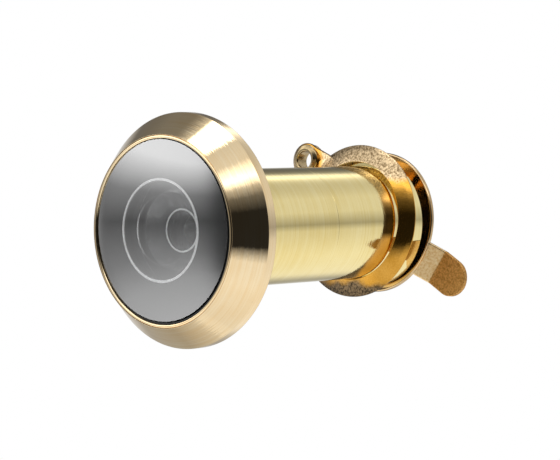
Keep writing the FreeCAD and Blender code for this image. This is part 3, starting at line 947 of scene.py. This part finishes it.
# The studio, in greys: a dark side with the camera in it, a pale wall on the right, a dimmer corner
# behind and a large soft box on the left. Each zone is its azimuth from the camera's side, turning
# right; how sharply it ends; and its brightness at each elevation.
ZONES = [
    (0, 12, [(-90, 0.83), (-50, 0.95), (-28, 0.9), (-16, 0.02), (14, 0.02), (26, 0.16), (34, 0.6), (42, 2.4),
             (56, 0.8), (90, 0.6)]),
    (115, 20, [(-90, 0.83), (-35, 0.95), (-6, 0.75), (2, 0.4), (18, 0.75), (34, 0.75), (48, 0.5), (90, 0.6)]),
    (-155, 20, [(-90, 0.83), (-50, 0.4), (-20, 0.4), (0, 0.8), (18, 0.15), (60, 0.2), (90, 0.6)]),
    (-92, 30, [(-90, 0.83), (-30, 1.3), (-18, 1.0), (-10, 0.55), (0, 0.22), (8, 0.6), (18, 2.3), (32, 2.3),
               (46, 0.9), (90, 0.6)]),
]
CEILING_AZIMUTH, CEILING_ELEVATION = -70, 84
CEILING_RADIUS, CEILING_SOFT = 13.5, 2.0
CEILING_LIGHT = 3.2
FAR_SIDE = 0.65


def studio_direction(azimuth, elevation):
    """A direction given by its azimuth and elevation in the studio."""
    a, e = math.radians(azimuth), math.radians(elevation)
    return (CAMERA_RIGHT * math.sin(a) + CAMERA_BACK * math.cos(a)) * math.cos(e) + CAMERA_UP * math.sin(e)


def floor():
    """A pale floor just under the object, seen from above only, and in no reflection."""
    work = bmesh.new()
    bmesh.ops.create_grid(work, x_segments=1, y_segments=1, size=1.5)
    made = object_from(work, "floor")
    made.location.z = CAD_BOX[0].z - 0.001
    material, tree, shader = new_material("floor_paper")
    mottle = noise(tree, evenly(tree, 40.0))
    tree.links.new(ramp(tree, mottle, [(0.3, 0.86), (0.7, 0.9)]), shader.inputs["Base Color"])
    shader.inputs["Roughness"].default_value = 0.9
    behind = add(tree, "NewGeometry").outputs["Backfacing"]
    mixed = add(tree, "MixShader", Fac=behind)
    tree.links.new(shader.outputs[0], mixed.inputs[1])
    tree.links.new(add(tree, "BsdfTransparent").outputs[0], mixed.inputs[2])
    output = next(node for node in tree.nodes if node.type == "OUTPUT_MATERIAL")
    tree.links.new(mixed.outputs[0], output.inputs["Surface"])
    made.data.materials.append(material)
    made.visible_glossy = made.visible_transmission = made.visible_diffuse = made.visible_shadow = False


def studio_world():
    """The soft studio all round: its zones blended by azimuth, and a round light above. The camera
    itself sees plain white."""
    world = bpy.data.worlds.new("studio")
    bpy.context.scene.world = world
    world.use_nodes = True
    tree = world.node_tree
    tree.nodes.clear()
    direction = add(tree, "TexCoord").outputs["Generated"]
    to_right = dot(tree, direction, CAMERA_RIGHT)
    to_camera = dot(tree, direction, CAMERA_BACK)
    elevation = calculate(tree, "ARCSINE", dot(tree, direction, CAMERA_UP))
    azimuth = calculate(tree, "ARCTAN2", to_right, to_camera)
    height = calculate(tree, "MULTIPLY_ADD", elevation, 1 / math.pi, 0.5)
    total, weights = None, None
    for centre, sharpness, levels in ZONES:
        apart = calculate(tree, "COSINE", calculate(tree, "SUBTRACT", azimuth, math.radians(centre)))
        weight = calculate(tree, "POWER", calculate(tree, "MAXIMUM", apart, FAR_SIDE), sharpness)
        colour = ramp(tree, height, [((level + 90) / 180, shade) for level, shade in levels])
        share = add(tree, "VectorMath", {"operation": "SCALE"}, Scale=weight)
        tree.links.new(colour, share.inputs[0])
        if total is None:
            total, weights = share.outputs[0], weight
            continue
        sum_node = add(tree, "VectorMath", {"operation": "ADD"})
        tree.links.new(total, sum_node.inputs[0])
        tree.links.new(share.outputs[0], sum_node.inputs[1])
        total = sum_node.outputs[0]
        weights = calculate(tree, "ADD", weights, weight)
    even = add(tree, "VectorMath", {"operation": "SCALE"}, Scale=calculate(tree, "DIVIDE", 1.0, weights))
    tree.links.new(total, even.inputs[0])
    above = dot(tree, direction, studio_direction(CEILING_AZIMUTH, CEILING_ELEVATION))
    edge = [math.cos(math.radians(CEILING_RADIUS + side * CEILING_SOFT)) for side in (1, -1)]
    lit = add(tree, "MapRange", {"interpolation_type": "SMOOTHSTEP"}, Value=above, From_Min=edge[0],
              From_Max=edge[1])
    ceiling = add(tree, "Mix", {"data_type": "RGBA"}, Factor=lit.outputs[0])
    tree.links.new(even.outputs[0], ceiling.inputs["A"])
    ceiling.inputs["B"].default_value = (CEILING_LIGHT, CEILING_LIGHT, CEILING_LIGHT, 1)
    seen = add(tree, "Mix", {"data_type": "RGBA"}, Factor=add(tree, "LightPath").outputs["Is Camera Ray"])
    tree.links.new(ceiling.outputs["Result"], seen.inputs["A"])
    seen.inputs["B"].default_value = (1, 1, 1, 1)
    background = add(tree, "Background", Color=seen.outputs["Result"], Strength=1.0)
    output = add(tree, "OutputWorld")
    tree.links.new(background.outputs[0], output.inputs[0])


def camera():
    """The camera at the viewing angle of the picture."""
    data = bpy.data.cameras.new("camera")
    data.lens = CAMERA_LENS
    data.clip_start, data.clip_end = 0.01, 10
    made = bpy.data.objects.new("camera", data)
    made.matrix_world = (Matrix.Translation(CAMERA_AT)
                         @ Matrix((CAMERA_RIGHT, CAMERA_UP, CAMERA_BACK)).transposed().to_4x4())
    bpy.context.scene.collection.objects.link(made)
    bpy.context.scene.camera = made


def main():
    """Makes the pieces, the studio and the camera."""
    bezel()
    barrel()
    seal()
    front_lens()
    hollow_edge()
    throat_edge()
    holder()
    small_lens()
    middle_lens()
    sleeve()
    eye_lens()
    ring()
    rivet()
    flap()
    inner_pieces()
    studio_world()
    floor()
    camera()
    bpy.context.scene.view_settings.view_transform = "Standard"


main()
